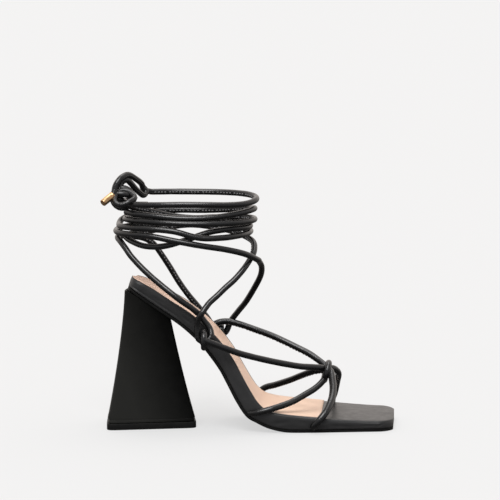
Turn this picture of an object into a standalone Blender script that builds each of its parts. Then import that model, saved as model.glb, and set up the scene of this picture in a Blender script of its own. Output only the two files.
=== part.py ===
"""Right-foot heeled sandal with cord straps, an ankle tie and a flared block heel.

Units are metres. +X points to the toe, +Y to the inner side of the foot, +Z up.
The origin is the middle of the heel's base, on the floor. Tables are in millimetres.
"""
import math

import bmesh
import bpy
from mathutils import Vector

MM = 0.001

# Cords
CORD_RADIUS = 2.3
CORD_SIDES_STEP = 2          # bevel resolution, which gives eight sides
STRAP_STEP = 8.0             # distance between rings of a strap tube
LOOP_STEP = 4.5
TIE_STEP = 6.5
TIE_WRAP_ANGLE_STEP = 20.0

# Layers of the sole, from the floor up
OUTSOLE_THICKNESS = 2.2
LAYER_GAP = 0.3
SOCK_THICKNESS = 0.9
SOCK_EDGE_INSET = 1.8
SOCK_FRONT_X = 131.0
TOP_EDGE_ROUND = 1.2
SIDE_BULGE = 0.5
SOLE_SECTIONS = 28

# Heel seat and square toe in plan
SEAT_ROUND_LENGTH = 17.0
SEAT_ROUND_POWER = 2.6
SEAT_FLAT_SHARE = 0.03
SEAT_SLANT = math.tan(math.radians(13.0))   # the back of the seat lies further back at the outer side
SEAT_SLANT_SIDE = 19.0
SEAT_SLANT_END_X = 24.0
SEAT_SLANT_LENGTH = 38.0
SEAT_SLOPE = 0.65
TOE_CORNER_RADIUS = 10.0
TOE_SLANT = math.tan(math.radians(2.6))
TOE_SLANT_START_X = 100.0
TOE_SLANT_END_X = 175.0

# A row for each section of the sole: its place on the upper and the lower line of the
# side view, and its half widths to the outer and the inner side.
# Columns: top_x, top_z, low_x, low_z, outer, inner.
SOLE_ROWS = (
    (-16.4, 116.6, -19.0, 108.8, 25.5, 22.5),
    (-0.4, 108.5, -6.5, 100.2, 25.6, 22.6),
    (14.8, 98.5, 8.7, 89.8, 25.8, 23.2),
    (30.0, 88.8, 23.1, 79.9, 26.6, 24.6),
    (43.7, 77.0, 35.9, 68.4, 27.6, 26.6),
    (52.8, 67.2, 43.6, 59.0, 28.6, 28.0),
    (62.0, 54.5, 52.0, 47.4, 30.2, 29.6),
    (68.3, 42.8, 57.8, 36.9, 32.2, 31.6),
    (75.4, 30.2, 65.2, 22.9, 34.6, 33.6),
    (80.6, 22.8, 72.6, 12.2, 36.4, 35.0),
    (86.5, 17.9, 80.5, 7.4, 37.6, 35.8),
    (94.0, 15.4, 90.0, 3.2, 38.6, 36.6),
    (103.5, 13.8, 101.5, 0.6, 39.0, 37.5),
    (114.0, 12.6, 113.5, 0.0, 38.4, 38.0),
    (129.0, 11.2, 129.0, 0.0, 37.7, 37.5),
    (146.0, 9.8, 146.0, 0.0, 36.0, 35.6),
    (168.0, 8.6, 168.0, 0.0, 34.0, 33.0),
    (185.4, 8.3, 185.4, 0.1, 33.0, 31.4),
)

# Heel block and its tip
HEEL_TIP_HEIGHT = 5.0
HEEL_TIP_JOINT = 0.3
HEEL_TIP_STEP = 0.9
HEEL_TIP_FLARE_Z = 2.6
HEEL_BASE_CHAMFER = 0.7
HEEL_RING_POINTS = 36
HEEL_FLARE = 1.5                            # above 1, the back flares more towards the floor
HEEL_TURN = math.tan(math.radians(4.0))      # the outer side and the breast turn inwards to the front
HEEL_TURN_SIDE = 22.0
HEEL_BACK_TOP_Z = 106.6
HEEL_LEVELS = 5
# Columns: back_x, breast_x, back_half, breast_half, back_square, breast_square, side.
HEEL_BASE = (-33.3, 35.2, 26.2, 20.6, 14.0, 16.0, 0.0)
HEEL_TOP = (-19.6, 15.8, 23.4, 22.6, 7.0, 16.0, -0.8)
SEAT_LINE = ((-6.5, 100.2), (23.1, 79.9))   # underside of the sole over the heel
SEAT_GAP = 0.4

# Straps of the foot, as routes from the toe knot to the sole's edge or the arch loop
STRAPS = {
    "front_outer": (
        (134, -2, 41), (137, -6, 41.5), (138.7, -16, 33.1), (138.3, -24, 26.6),
        (136.4, -31, 21.6), (133.4, -37, 16.4), (128.8, -40.6, 11.2), (124.6, -41.6, 6.4),
        (122.6, -41.4, 3.4)),
    "front_inner": (
        (133, -1, 42), (139, 4, 42.4), (143.2, 9.4, 37.6), (142.4, 18.4, 29), (140.8, 29, 18.6),
        (139.4, 37.6, 12.8), (139, 40.2, 7.4), (138.6, 40.4, 3.4)),
    "ball_outer": (
        (134, -3, 40), (131.1, -9, 34.8), (125, -15.5, 30.2), (117.4, -22, 26.7), (109.8, -28, 23.4),
        (102.2, -34, 21.2), (91.5, -39.6, 18.7), (81, -40.8, 16), (73.6, -39.6, 15)),
    "ball_inner": (
        (134, -2, 41), (128.8, 2, 41.2), (121.2, 8, 38.4), (113.6, 15, 34.2), (106, 22, 29.8),
        (95.5, 31.4, 24.6), (86.6, 37.8, 20.8), (79.5, 39, 14.2), (76.4, 38.6, 10.6)),
    "long_outer": (
        (135, -3, 42), (130.3, -6, 44.4), (121.2, -11, 46), (113.6, -15, 47.2), (98.4, -22, 51.1),
        (83.2, -28.8, 55.6), (68, -34.6, 60.6), (57, -38.2, 65.2), (47.8, -40.7, 69.2),
        (40.8, -41, 72.2)),
    "long_inner": (
        (135, -1, 43), (131.9, 2, 45.8), (127.3, 6, 48.8), (121.2, 10, 52.4), (113.6, 14, 55.7),
        (102.2, 19, 60.5), (90.8, 24, 64.8), (79.4, 28, 68.3), (68, 31.5, 71.7), (57.2, 33.2, 73.7),
        (48.6, 33, 71.4), (45.2, 32.2, 64), (46.4, 32.2, 56.6)),
}
# Loops that stand at the arch and carry the ankle tie
ARCH_LOOPS = {
    "loop_outer": (
        (40.8, -41, 71), (40.8, -39.5, 75), (40.8, -35.7, 76.6), (40.8, -32.1, 75), (40.8, -30.7, 71),
        (40.8, -32.1, 67), (40.8, -35.7, 65.4), (40.8, -39.5, 67)),
    "loop_inner": (
        (47.6, 31.9, 53.6), (50.4, 32.2, 57.4), (53, 32.5, 62.8), (53.2, 34.4, 67.4), (53.2, 38.6, 69.4),
        (53.2, 42.8, 67.4), (53.2, 44.7, 62.6), (52, 43, 57.4), (48.6, 36, 52.2)),
}
KNOT_CENTRE = (133.9, -2.2, 40.9)
KNOT_RING = (1.8, 7.2, 6.6)          # lean along X, half width, half height
KNOT_CORE = (6.2, 6.6, 6.8)
KNOT_RING_POINTS = 14

# Ankle tie. The free runs are routes; the turns round the ankle are rows of
# angle (0 at the front, 90 at the inner side), layer (in cord widths) and height.
ANKLE_CENTRE_X = 29.0
ANKLE_HALF_LENGTH = 50.0
ANKLE_HALF_WIDTH = 28.0
TIE_LAYER = 5.1
TURNS_C = (
    (10, 0.0, 139.5), (35, 0.0, 143.4), (60, 0.0, 147.2), (90, 0.0, 149.6), (135, -0.1, 147.4),
    (180, -0.35, 145.6), (211, -0.25, 142.8), (234, 0.0, 140.4), (253, 0.0, 142.1), (264, 0.0, 145.2),
    (280, 0.0, 150.2), (294, 0.0, 153.0), (311, 0.0, 154.0), (339, -0.4, 153.4), (360, -0.7, 153.4),
    (380, -0.2, 153.0), (400, 0.9, 153.0), (420, 1.8, 152.9), (450, 2.0, 152.2), (462, 1.8, 153.4),
    (475, 0.9, 154.6), (485, 0.3, 154.8), (495, 0.0, 155.0), (520, -0.25, 157.2), (540, -0.4, 158.8),
    (590, 0.3, 159.8), (630, 0.8, 159.2), (670, 0.6, 158.8), (700, 0.2, 158.6), (720, 0.0, 158.5),
    (750, 0.0, 157.6), (780, 0.0, 156.2), (810, 0.0, 154.8), (822, 0.0, 156.2), (835, 0.0, 158.4),
    (850, 0.0, 162.4), (865, 0.0, 166.0), (900, 0.0, 172.2), (935, 0.0, 171.8), (990, 0.0, 173.4),
    (1040, 0.3, 172.3), (1080, 0.3, 174.2), (1110, 0.1, 175.4), (1170, 0.0, 175.2), (1205, 0.0, 175.8),
)
TURNS_D = (
    (-20, 1.1, 128.8), (-35, 1.1, 133.6), (-55, 1.0, 138.6), (-90, 1.0, 144.2), (-110, 1.0, 147.8),
    (-125, 1.0, 149.6), (-150, 1.0, 149.4), (-180, 1.0, 149.4), (-215, 1.0, 148.8), (-240, 1.0, 148.8),
    (-270, 1.0, 149.4), (-300, 1.0, 149.0), (-315, 0.7, 148.4), (-330, 0.3, 148.2), (-345, -0.3, 148.4),
    (-360, -0.7, 148.4), (-380, -0.6, 148.5), (-400, 0.1, 148.5), (-420, 0.8, 148.2), (-437, 1.0, 148.0),
    (-450, 1.0, 151.0), (-465, 1.0, 154.2), (-480, 1.0, 154.8), (-510, 0.8, 154.4), (-540, 0.55, 154.2),
    (-560, 0.8, 155.0), (-585, 1.0, 157.8), (-605, 1.0, 159.9), (-620, 1.0, 160.3), (-640, 0.7, 160.4),
    (-665, 0.2, 162.0), (-690, 0.0, 164.2), (-720, 0.0, 166.6), (-750, 0.0, 166.0), (-780, 0.0, 163.8),
    (-810, 0.0, 162.6), (-850, 0.0, 164.4), (-882, 0.0, 165.0),
)
RUN_C = (
    (37, -35.9, 71.4), (35.9, -35.8, 75.6), (35.9, -35.6, 82), (36.6, -36.6, 87.2), (38.7, -37.6, 91.2),
    (41.6, -35.8, 95.2), (45.2, -32.4, 99.4), (51, -29, 104.2), (57, -26, 109.6), (64, -22.4, 115.4),
    (71, -17, 122.8), (75.6, -10.6, 128.8), (78.6, -4, 134))
RUN_AB = (
    (40.8, -35.7, 70.9), (44.6, -35.5, 71.6), (46.3, -34, 75.4), (44.8, -31.8, 80.2), (41, -31, 85),
    (37.6, -30.7, 89.4), (31.6, -31.4, 94.8), (24, -32, 100.2), (16.4, -30.4, 105.8),
    (8.8, -27, 111.4), (1.2, -24, 117.4), (-6.4, -20.6, 124), (-14.2, -16.4, 131.8),
    (-18.4, -12.8, 137.2), (-22.3, -7.4, 141.7), (-25, 1, 144), (-22.8, 10, 143.8), (-16, 17.6, 142.4),
    (-6, 22.6, 140.2), (1.6, 25.4, 135.4), (7, 27, 128), (14, 29, 116.9), (21, 30.6, 105),
    (28.4, 32.4, 94.2), (36, 35, 84.6),
    (43.4, 38, 74.8), (49, 38.6, 64.8), (53.2, 38.6, 62.6))
RUN_D = (
    (57.4, 38.8, 65), (60.2, 38.8, 72.6), (64.8, 35.6, 81), (71.8, 26, 90.7), (79.4, 16, 103.4),
    (83.8, 9.4, 113.6), (84.4, 2, 121.4), (82.4, -5, 126.6))

# Knot of the tie at the back of the ankle, its loops, ends and metal tips
TIE_KNOT_CENTRE = (-21.0, -3.6, 174.9)
TIE_KNOT_RADIUS = 7.6
TIE_KNOT_POINTS = 16
TIE_LOOP = (
    (-0.7, 22.4, 175.9), (-5.3, 20, 177.8), (-7.2, 14.6, 183.4), (-11.4, 8, 188), (-16.8, 1.6, 192),
    (-21.4, -4, 191), (-24.8, -7.4, 187.6), (-26.6, -8.8, 184), (-27.2, -9.8, 180.8),
    (-28, -10.8, 178.7))
TIE_END = (
    (-26.4, 3.2, 169.6), (-24.4, 9.7, 168.2), (-19.1, 16.5, 167), (-11.6, 22.5, 166), (-3, 27.5, 165.3))
AGLET_RADIUS = 2.5
AGLET_SEGMENTS = 20
AGLET_OUTER = ((-28.8, -11.5, 177.9), (-35.2, -17.0, 173.4))
AGLET_INNER = ((-1.6, 28.4, 165.2), (8.4, 33.2, 164.2))

MATERIALS = {
    "black_leather": ((0.014, 0.014, 0.014, 1.0), 0.42, 0.0),
    "black_cord": ((0.016, 0.016, 0.016, 1.0), 0.38, 0.0),
    "black_rubber": ((0.012, 0.012, 0.012, 1.0), 0.6, 0.0),
    "tan_sock": ((0.76, 0.52, 0.39, 1.0), 0.55, 0.0),
    "gold": ((0.83, 0.52, 0.28, 1.0), 0.22, 1.0),
}


def clear_scene():
    for item in list(bpy.data.objects):
        bpy.data.objects.remove(item, do_unlink=True)


def material(name):
    found = bpy.data.materials.get(name)
    if found:
        return found
    colour, roughness, metallic = MATERIALS[name]
    made = bpy.data.materials.new(name)
    made.use_nodes = True
    shader = made.node_tree.nodes["Principled BSDF"]
    shader.inputs["Base Color"].default_value = colour
    shader.inputs["Roughness"].default_value = roughness
    shader.inputs["Metallic"].default_value = metallic
    made.diffuse_color = colour
    return made


def add_object(name, data, finish):
    made = bpy.data.objects.new(name, data)
    bpy.context.scene.collection.objects.link(made)
    made.data.materials.clear()
    made.data.materials.append(material(finish))
    return made


def spline_point(points, place):
    """Point on the Catmull-Rom curve through points, at a place counted in points."""
    last = len(points) - 1
    index = min(int(place), last - 1)
    t = place - index
    here = Vector(points[index])
    after = Vector(points[index + 1])
    before = Vector(points[index - 1]) if index > 0 else here * 2 - after
    beyond = Vector(points[index + 2]) if index + 2 <= last else after * 2 - here
    return 0.5 * (2 * here + (after - before) * t
                  + (2 * before - 5 * here + 4 * after - beyond) * t * t
                  + (3 * here - before - 3 * after + beyond) * t ** 3)


def even_points(points, step, closed=False):
    """Points at even distances along the smooth curve through the given ones."""
    route = [Vector(p) for p in points]
    if closed:
        route = route[-1:] + route + route[:2]
    fine = []
    first = 1 if closed else 0
    last = len(route) - 2 if closed else len(route) - 1
    per_span = 12
    for count in range((last - first) * per_span + 1):
        fine.append(spline_point(route, first + count / per_span))
    lengths = [0.0]
    for a, b in zip(fine, fine[1:]):
        lengths.append(lengths[-1] + (b - a).length)
    pieces = max(3, round(lengths[-1] / step))
    out = []
    index = 0
    for count in range(pieces + (0 if closed else 1)):
        goal = lengths[-1] * count / pieces
        while index < len(lengths) - 2 and lengths[index + 1] < goal:
            index += 1
        span = lengths[index + 1] - lengths[index]
        out.append(fine[index].lerp(fine[index + 1], (goal - lengths[index]) / span))
    return out


def cord_curve(name, points, closed=False):
    """Round cord as a bevelled curve, with points in millimetres."""
    curve = bpy.data.curves.new(name, "CURVE")
    curve.dimensions = "3D"
    curve.bevel_depth = CORD_RADIUS * MM
    curve.bevel_resolution = CORD_SIDES_STEP
    curve.use_fill_caps = True
    spline = curve.splines.new("POLY")
    spline.points.add(len(points) - 1)
    for slot, point in zip(spline.points, points):
        slot.co = (point[0] * MM, point[1] * MM, point[2] * MM, 1.0)
    spline.use_cyclic_u = closed
    spline.use_smooth = True
    return curve


def cord_mesh(name, points, closed=False):
    """The same round cord as a mesh."""
    guide = bpy.data.objects.new(name + "_guide", cord_curve(name, points, closed))
    mesh = bpy.data.meshes.new_from_object(guide)
    bpy.data.objects.remove(guide, do_unlink=True)
    work = bmesh.new()
    work.from_mesh(mesh)
    bmesh.ops.remove_doubles(work, verts=work.verts, dist=0.00001)
    bmesh.ops.recalc_face_normals(work, faces=work.faces)
    work.to_mesh(mesh)
    work.free()
    mesh.name = name
    return mesh


def loft_mesh(name, rings):
    """Closed body through rings of equal count, capped at both ends."""
    work = bmesh.new()
    rows = [[work.verts.new(point * MM) for point in ring] for ring in rings]
    count = len(rows[0])
    for low, high in zip(rows, rows[1:]):
        for i in range(count):
            j = (i + 1) % count
            work.faces.new((low[i], low[j], high[j], high[i]))
    work.faces.new(rows[0])
    work.faces.new(rows[-1])
    bmesh.ops.recalc_face_normals(work, faces=work.faces)
    mesh = bpy.data.meshes.new(name)
    work.to_mesh(mesh)
    work.free()
    mesh.shade_smooth()
    mesh.set_sharp_from_angle(angle=math.radians(40))
    return mesh


def smooth_step(value):
    value = min(1.0, max(0.0, value))
    return value * value * (3 - 2 * value)


def sole_stations():
    """Sections of the sole at even places, closer together at the round seat and toe."""
    rows = SOLE_ROWS
    last = len(rows) - 1
    seat = [0.03, 0.12, 0.3, 0.55, 0.85, 1.2, 1.6]
    toe = [last - 0.03, last - 0.12, last - 0.25, last - 0.42, last - 0.6]
    middle = [2 + (last - 3) * i / (SOLE_SECTIONS - 1) for i in range(SOLE_SECTIONS)]
    for place in [0.0] + seat + middle + toe[::-1] + [last]:
        top = spline_point([(r[0], 0.0, r[1]) for r in rows], place)
        low = spline_point([(r[2], 0.0, r[3]) for r in rows], place)
        low.z = max(low.z, 0.0)
        half = spline_point([(r[4], r[5], 0.0) for r in rows], place)
        yield top, low, half.x, half.y


def seat_factor(distance):
    """Share of the full width at a distance from the back of the round seat."""
    share = min(1.0, SEAT_FLAT_SHARE + distance / SEAT_ROUND_LENGTH)
    return (1 - (1 - share) ** SEAT_ROUND_POWER) ** (1 / SEAT_ROUND_POWER)


def toe_inset(distance):
    """How far the round corner of the toe draws in at a distance from the tip."""
    rest = max(0.0, TOE_CORNER_RADIUS - distance - 0.6)
    return TOE_CORNER_RADIUS - math.sqrt(TOE_CORNER_RADIUS ** 2 - rest ** 2)


def slanted(point, y):
    """Point moved out to y, with the toe and the back of the seat slanted to the inner side."""
    reach = (point.x - TOE_SLANT_START_X) / (TOE_SLANT_END_X - TOE_SLANT_START_X)
    toe = TOE_SLANT * y * smooth_step(reach)
    fade = smooth_step((SEAT_SLANT_END_X - point.x) / SEAT_SLANT_LENGTH)
    seat = SEAT_SLANT * (y + SEAT_SLANT_SIDE) * fade
    return Vector((point.x + toe + seat, y, point.z - SEAT_SLOPE * seat))


def sole_layer(name, low_height, high_height, inset, front_x=None, round_top=0.0):
    """One layer of the sole between two heights above its underside.

    A height is in millimetres, or None for the top of the wrapped midsole.
    """
    tip_x = SOLE_ROWS[-1][0]
    start = Vector((SOLE_ROWS[0][0], 0.0, SOLE_ROWS[0][1]))
    rings = []
    for top, low, outer, inner in sole_stations():
        if front_x is not None and top.x > front_x:
            break
        up = top - low
        full = up.length
        up.normalize()
        bottom = low + up * (full + low_height if low_height > full - 1 else low_height)
        roof = top if high_height is None else low + up * high_height
        if high_height is not None and low_height < 0:
            bottom = top - up * low_height
            roof = top + up * high_height
        share = seat_factor((top - start).length)
        draw = toe_inset(tip_x - top.x) + inset
        outer_edge = -max(2.0, outer * share - draw)
        inner_edge = max(2.0, inner * share - draw)
        shoulder = roof.lerp(bottom, min(0.5, round_top / max(0.1, (roof - bottom).length)))
        waist = roof.lerp(bottom, 0.5)
        ring = [
            slanted(bottom, outer_edge), slanted(waist, outer_edge - SIDE_BULGE),
            slanted(shoulder, outer_edge), slanted(roof, outer_edge + round_top * 0.8),
            slanted(roof, outer_edge * 0.45), slanted(roof, inner_edge * 0.45),
            slanted(roof, inner_edge - round_top * 0.8), slanted(shoulder, inner_edge),
            slanted(waist, inner_edge + SIDE_BULGE), slanted(bottom, inner_edge),
            slanted(bottom, inner_edge * 0.45), slanted(bottom, outer_edge * 0.45),
        ]
        rings.append(ring)
    return loft_mesh(name, rings)


def heel_ring(share, height_share, inset=0.0, flat_z=None):
    """Ring of the heel between its base (share 0) and its top (share 1)."""
    back, breast, back_half, breast_half, back_square, breast_square, side = (
        low + (high - low) * share for low, high in zip(HEEL_BASE, HEEL_TOP))
    back = HEEL_TOP[0] - (HEEL_TOP[0] - HEEL_BASE[0]) * (1 - share) ** HEEL_FLARE
    middle = (back + breast) / 2
    half_length = (breast - back) / 2 - inset
    (x0, z0), (x1, z1) = SEAT_LINE
    ring = []
    for i in range(HEEL_RING_POINTS):
        turn = 2 * math.pi * (i + 0.5) / HEEL_RING_POINTS
        square = breast_square if math.cos(turn) > 0 else back_square
        along = math.copysign(abs(math.cos(turn)) ** (2 / square), math.cos(turn))
        across = math.copysign(abs(math.sin(turn)) ** (2 / square), math.sin(turn))
        half = back_half + (breast_half - back_half) * (along + 1) / 2 - inset
        x = middle + half_length * along
        y = side + half * across + HEEL_TURN * x
        x += SEAT_SLANT * (y + SEAT_SLANT_SIDE) * share * (1 - along) / 2
        x -= HEEL_TURN * (y + HEEL_TURN_SIDE) * (1 + along) / 2
        seat = min(HEEL_BACK_TOP_Z, z0 + (z1 - z0) * (x - x0) / (x1 - x0) - SEAT_GAP)
        base = HEEL_TIP_HEIGHT + HEEL_TIP_JOINT
        z = flat_z if flat_z is not None else base + (seat - base) * height_share
        ring.append(Vector((x, y, z)))
    return ring


def make_heel():
    top_z = SOLE_ROWS[0][3]
    base = HEEL_TIP_HEIGHT + HEEL_TIP_JOINT
    rings = [heel_ring(base / top_z, 0.0, inset=HEEL_BASE_CHAMFER)]
    rings.append(heel_ring((base + HEEL_BASE_CHAMFER) / top_z, HEEL_BASE_CHAMFER / top_z))
    for level in range(1, HEEL_LEVELS + 1):
        share = level / HEEL_LEVELS
        rings.append(heel_ring(share, share))
    add_object("heel_block", loft_mesh("heel_block", rings), "black_leather")
    tip = [
        heel_ring(0.0, 0.0, flat_z=0.0),
        heel_ring(0.0, 0.0, flat_z=HEEL_TIP_FLARE_Z),
        heel_ring(0.0, 0.0, inset=HEEL_TIP_STEP, flat_z=HEEL_TIP_HEIGHT),
    ]
    add_object("heel_tip", loft_mesh("heel_tip", tip), "black_rubber")


def make_sole():
    outsole = sole_layer("outsole", 0.0, OUTSOLE_THICKNESS, 0.4)
    add_object("outsole", outsole, "black_rubber")
    midsole = sole_layer("midsole", OUTSOLE_THICKNESS + LAYER_GAP, None, 0.0,
                         round_top=TOP_EDGE_ROUND)
    add_object("midsole", midsole, "black_leather")
    sock = sole_layer("insole_sock", -LAYER_GAP, LAYER_GAP + SOCK_THICKNESS,
                      SOCK_EDGE_INSET + TOP_EDGE_ROUND, front_x=SOCK_FRONT_X)
    add_object("insole_sock", sock, "tan_sock")


def join_solids(base, others):
    """Join hidden solids to the base with exact unions."""
    for other in others:
        other.hide_render = True
        other.display_type = "WIRE"
        union = base.modifiers.new("join_" + other.name, "BOOLEAN")
        union.operation = "UNION"
        union.solver = "EXACT"
        union.object = other


def knot_core():
    work = bmesh.new()
    bmesh.ops.create_icosphere(work, subdivisions=2, radius=MM)
    bmesh.ops.scale(work, verts=work.verts, vec=KNOT_CORE)
    bmesh.ops.translate(work, verts=work.verts, vec=Vector(KNOT_CENTRE) * MM)
    mesh = bpy.data.meshes.new("knot_core")
    work.to_mesh(mesh)
    work.free()
    mesh.shade_smooth()
    return mesh


def make_upper():
    upper = add_object("upper_straps", knot_core(), "black_cord")
    solids = []
    for name, route in STRAPS.items():
        points = even_points(route, STRAP_STEP)
        solids.append(add_object(name, cord_mesh(name, points), "black_cord"))
    for name, route in ARCH_LOOPS.items():
        points = even_points(route, LOOP_STEP, closed=True)
        solids.append(add_object(name, cord_mesh(name, points, True), "black_cord"))
    lean, half_width, half_height = KNOT_RING
    centre = Vector(KNOT_CENTRE)
    ring = []
    for i in range(KNOT_RING_POINTS):
        turn = 2 * math.pi * i / KNOT_RING_POINTS
        shift = Vector((lean * math.sin(turn), half_width * math.cos(turn), half_height * math.sin(turn)))
        ring.append(centre + shift)
    solids.append(add_object("knot_ring", cord_mesh("knot_ring", ring, True), "black_cord"))
    join_solids(upper, solids)


def turn_point(angle, layer, height):
    turn = math.radians(angle)
    out = layer * TIE_LAYER
    return Vector((ANKLE_CENTRE_X + (ANKLE_HALF_LENGTH + out) * math.cos(turn),
                   (ANKLE_HALF_WIDTH + out) * math.sin(turn), height))


def turn_points(rows):
    """Points of the turns, at even angles on the smooth curve through the rows."""
    points = []
    first = rows[0][0]
    last = rows[-1][0]
    count = round(abs(last - first) / TIE_WRAP_ANGLE_STEP)
    for step in range(count + 1):
        goal = first + (last - first) * step / count
        index = 0
        while index < len(rows) - 2 and abs(rows[index + 1][0] - first) < abs(goal - first):
            index += 1
        part = (goal - rows[index][0]) / (rows[index + 1][0] - rows[index][0])
        angle, layer, height = spline_point(rows, index + part)
        points.append(turn_point(goal, layer, height))
    return points


def make_tie():
    route = turn_points(TURNS_C)[::-1] + [Vector(p) for p in RUN_C[::-1] + RUN_AB + RUN_D]
    route += turn_points(TURNS_D)
    points = even_points(route, TIE_STEP)
    add_object("ankle_tie", cord_mesh("ankle_tie", points), "black_cord")


def make_tie_knot():
    centre = Vector(TIE_KNOT_CENTRE)
    ring = []
    for i in range(TIE_KNOT_POINTS):
        turn = 2 * math.pi * i / TIE_KNOT_POINTS
        ring.append(centre + TIE_KNOT_RADIUS * Vector((math.cos(turn), 0.0, math.sin(turn))))
    add_object("tie_knot", cord_curve("tie_knot", ring, True), "black_cord")
    add_object("tie_loop", cord_curve("tie_loop", even_points(TIE_LOOP, LOOP_STEP)), "black_cord")
    add_object("tie_end", cord_curve("tie_end", even_points(TIE_END, STRAP_STEP)), "black_cord")
    for name, ends in (("aglet_outer", AGLET_OUTER), ("aglet_inner", AGLET_INNER)):
        add_object(name, aglet_mesh(name, ends), "gold")


def aglet_mesh(name, ends):
    """Turned metal tip between two points, with rounded rims."""
    start, end = (Vector(p) for p in ends)
    axis = (end - start).normalized()
    side = axis.orthogonal().normalized()
    other = axis.cross(side)
    length = (end - start).length
    rim = 0.5
    profile = ((0.0, AGLET_RADIUS - rim), (rim, AGLET_RADIUS), (length - rim, AGLET_RADIUS),
               (length, AGLET_RADIUS - rim))
    rings = []
    for along, radius in profile:
        ring = []
        for i in range(AGLET_SEGMENTS):
            turn = 2 * math.pi * i / AGLET_SEGMENTS
            ring.append(start + axis * along + radius * (side * math.cos(turn) + other * math.sin(turn)))
        rings.append(ring)
    return loft_mesh(name, rings)


def main():
    clear_scene()
    make_sole()
    make_heel()
    make_upper()
    make_tie()
    make_tie_knot()


main()
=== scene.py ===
"""Looks of the heeled sandal: wrapped sole and heel, smooth stitched cords, knots and a pale studio."""
import math
from functools import lru_cache

import bmesh
import bpy
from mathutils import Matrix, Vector, noise


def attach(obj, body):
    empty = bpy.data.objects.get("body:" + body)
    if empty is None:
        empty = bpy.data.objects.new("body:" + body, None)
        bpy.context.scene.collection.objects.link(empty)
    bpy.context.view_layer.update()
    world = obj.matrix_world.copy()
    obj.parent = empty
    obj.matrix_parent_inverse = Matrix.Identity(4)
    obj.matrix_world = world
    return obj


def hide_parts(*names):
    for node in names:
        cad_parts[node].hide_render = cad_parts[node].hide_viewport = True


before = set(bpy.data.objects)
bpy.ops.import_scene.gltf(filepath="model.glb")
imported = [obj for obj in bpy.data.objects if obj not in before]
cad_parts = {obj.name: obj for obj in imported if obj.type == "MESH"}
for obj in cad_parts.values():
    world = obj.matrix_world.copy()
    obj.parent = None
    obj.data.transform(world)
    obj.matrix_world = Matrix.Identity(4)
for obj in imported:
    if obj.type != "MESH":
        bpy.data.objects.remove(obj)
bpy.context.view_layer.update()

MM = 0.001

# Camera, from the photo's framing: a pixel is 0.76 mm at the shoe
CAMERA_TARGET = (75.6, 0.0, 134.4)
CAMERA_ELEVATION = 9.0
CAMERA_DISTANCE = 4000.0
CAMERA_LENS = 378.6
CAMERA_SENSOR = 36.0
CAMERA_CLIP = (0.05, 50.0)           # metres

# Studio: floor, two wide suns and a world that is brighter behind the shoe
FLOOR_RADIUS = 80.0                  # metres
FLOOR_SIDES = 64
FLOOR_GLOW = 0.60
FLOOR_COLOUR = (0.24, 0.24, 0.24)
FRONT_TOWARDS = (-0.1, -0.54, 0.84)
FRONT_SPREAD = 34.0
FRONT_STRENGTH = 1.7
SKY_TOWARDS = (0.05, 0.25, 1.0)
SKY_SPREAD = 35.0
SKY_STRENGTH = 0.6
WORLD_FRONT = (0.33, 0.33, 0.34)
WORLD_BACK = (1.12, 1.04, 0.98)
WORLD_TURN = (-0.5, 0.9)             # front to back, over the direction's Y
WORLD_LOWER = 0.12                   # strength under the horizon
WORLD_LOWER_RISE = (-0.35, 0.12)     # lower to full strength, over the direction's Z

# Colours and ranges of roughness
WRAP_DARK = (0.0200, 0.0198, 0.0202)
WRAP_LIGHT = (0.0285, 0.0278, 0.0280)
WRAP_ROUGHNESS = (0.36, 0.48)
# The heel's dark and light colours are also the ends of its painted shading: lighter at the back, darker
# to the front and higher up
HEEL_DARK = (0.0012, 0.0012, 0.0010)
HEEL_LIGHT = (0.0210, 0.0210, 0.0191)
HEEL_ROUGHNESS = (0.38, 0.50)
HEEL_PAINTED_SHADE = (-0.008, 0.037)          # painted shade: metres along X at the floor, from the painted lit end to the painted shaded end
# Share of the height added to X, so the painted shade darkens upwards too
HEEL_PAINTED_SHADE_RISE = 0.35
HEEL_CLOUD = 0.12
CORD_DARK = (0.0045, 0.0045, 0.0047)
CORD_LIGHT = (0.0080, 0.0078, 0.0078)
CORD_ROUGHNESS = (0.22, 0.32)
THREAD_COLOUR = (0.20, 0.20, 0.205)
RUBBER_DARK = (0.0065, 0.0065, 0.0062)
RUBBER_LIGHT = (0.0125, 0.0122, 0.0118)
SOCK_FRONT_COLOUR = (0.93, 0.67, 0.51)
SOCK_HEEL_COLOUR = (0.87, 0.59, 0.45)
SOCK_FADE = (0.11, 0.0)              # metres along X, from the front's colour to the heel's
GOLD_COLOUR = (0.86, 0.56, 0.30)
GOLD_LIGHT = (0.88, 0.58, 0.32)
GOLD_DARK = (0.78, 0.46, 0.22)
CLOUD_SPAN = (0.3, 0.75)             # what a noise is spread from
FINE_SPAN = (0.3, 0.7)

# Cords. The profile's rows are an angle from the seam and a share of the radius.
CORD_RADIUS = 2.3
STRAP_RADIUS = 2.42
FRONT_STRAP_RADIUS = 2.75
CORD_STEP = 1.3
CORD_SWELL = 0.025
SWELL_SCALE = 0.13
CURVE_STEPS = 12
SHARP_BEND_RADIUS = 8.0
LEAST_STEP = 0.01
SEAM_PROFILE = ((-17, 1.02), (-8, 0.96), (0, 0.89), (8, 0.96), (17, 1.02))
PLAIN_SIDES = 15
STITCH_SPACING = 2.9
STITCH_SIZE = (0.95, 0.45, 0.42)     # half length, half width, half height
STITCH_DEPTH = 0.05
BEAD_SIDES = 8
BEAD_LEVELS = (-0.62, 0.0, 0.62)
SEAM_PULL = 0.12                     # how fast a seam turns to its side
SEAM_LEAST = 0.2                     # least share of that side across the cord
SEAM_SIDE_PULL = 1.8
STRAP_SEAM_LEAN = 0.5
LEG_SEAM_X = 42.0
LEG_SEAM_Z = 130.0

# Angles over which an edge is shaded sharp
CORD_SHARP = 50.0
METAL_SHARP = 35.0
HEEL_SHARP = 40.0
SOLE_SHARP = 60.0

# Outsole
OUTSOLE_THICKNESS = 2.2
OUTSOLE_INSET = 0.4
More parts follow.
